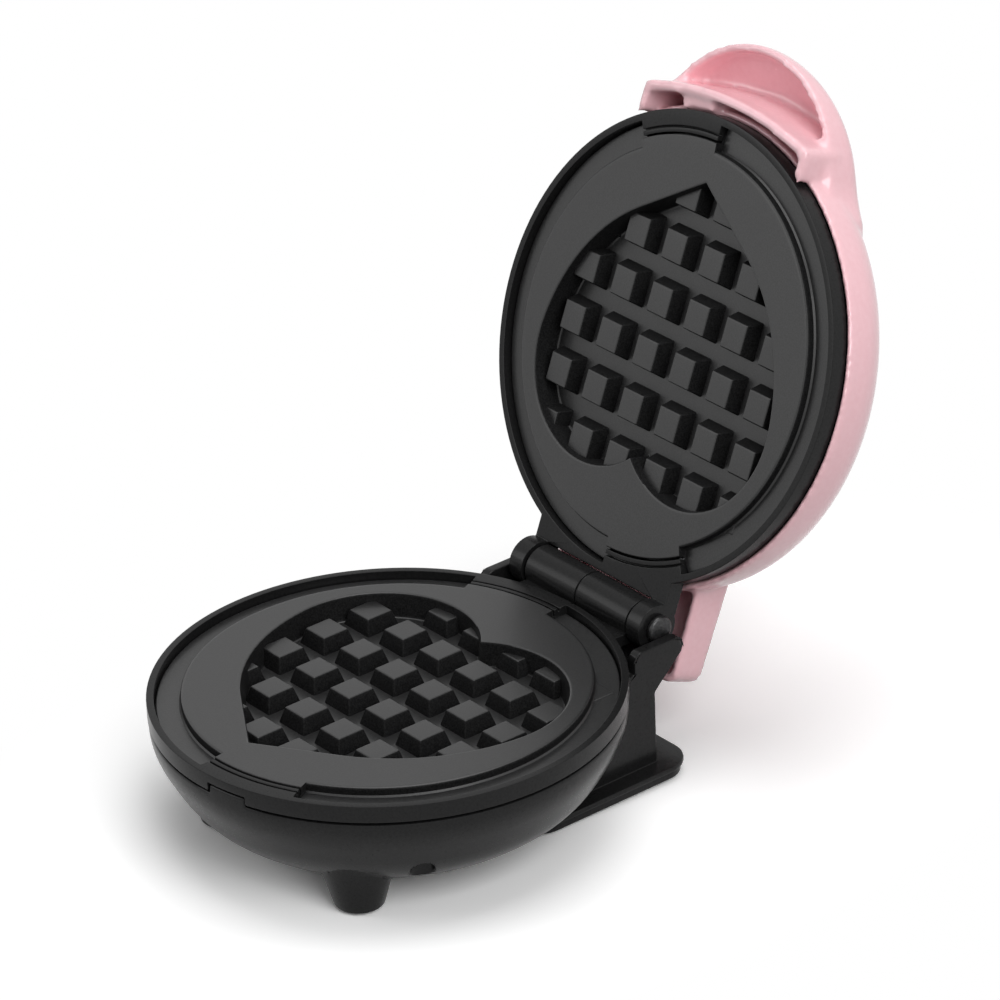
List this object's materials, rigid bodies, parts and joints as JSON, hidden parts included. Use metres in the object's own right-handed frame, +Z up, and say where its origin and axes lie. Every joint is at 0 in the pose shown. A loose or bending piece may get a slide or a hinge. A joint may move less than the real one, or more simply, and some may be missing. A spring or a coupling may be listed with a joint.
{
  "type": "waffle maker",
  "caption": "Small round waffle maker: heart-shaped recesses with pegs in both plates, hinged domed lid with a finger grip, bowl-shaped base on short legs and a rear stand.",
  "frame": {"origin": "centre of the object's box at floor level, with the lid open", "axes": "+X to the right seen from the front, +Y from the grip side to the hinge, +Z up"},
  "size_m": [0.1212, 0.1936, 0.168],
  "materials": {
    "black_plastic": "satin",
    "pink_plastic": "gloss",
    "coated_plate": "dark non-stick coat, fine sparkle",
    "dark_steel": "blackened",
    "steel": "satin",
    "sheet": "mill finish",
    "white_plastic": "satin",
    "lead_cover": "matte",
    "rubber": "matte",
    "lens": "gloss",
    "lamp_glass": "gloss"
  },
  "bodies": {
    "base": {"base_shell": "black_plastic", "base_carrier": "black_plastic", "stand_cover": "black_plastic", "lower_plate": "coated_plate", "hinge_pins": "dark_steel", "lower_heater": "steel", "lower_plate_screws": "steel", "base_screws": "steel", "stand_cover_screws": "steel", "lower_reflector": "sheet", "thermostat": "steel", "terminal_block": "white_plastic", "base_wiring": "lead_cover", "front_foot_pads": "rubber", "rear_foot_pads": "rubber", "cord_gland": "rubber"},
    "lid": {"lid_cover": "pink_plastic", "lid_carrier": "black_plastic", "upper_plate": "coated_plate", "upper_heater": "steel", "upper_reflector": "sheet", "upper_plate_screws": "steel", "thermal_fuse": "sheet", "lid_wiring": "lead_cover", "lid_screws": "steel", "indicator_lens": "lens", "indicator_lamp": "lamp_glass"}
  },
  "joints": [
    {"name": "lid_hinge", "type": "hinge", "parent": "base", "child": "lid", "pos_m": [0, 0.02769, 0.0385], "axis": [1, 0, 0], "range_deg": [0, 112]}
  ]
}
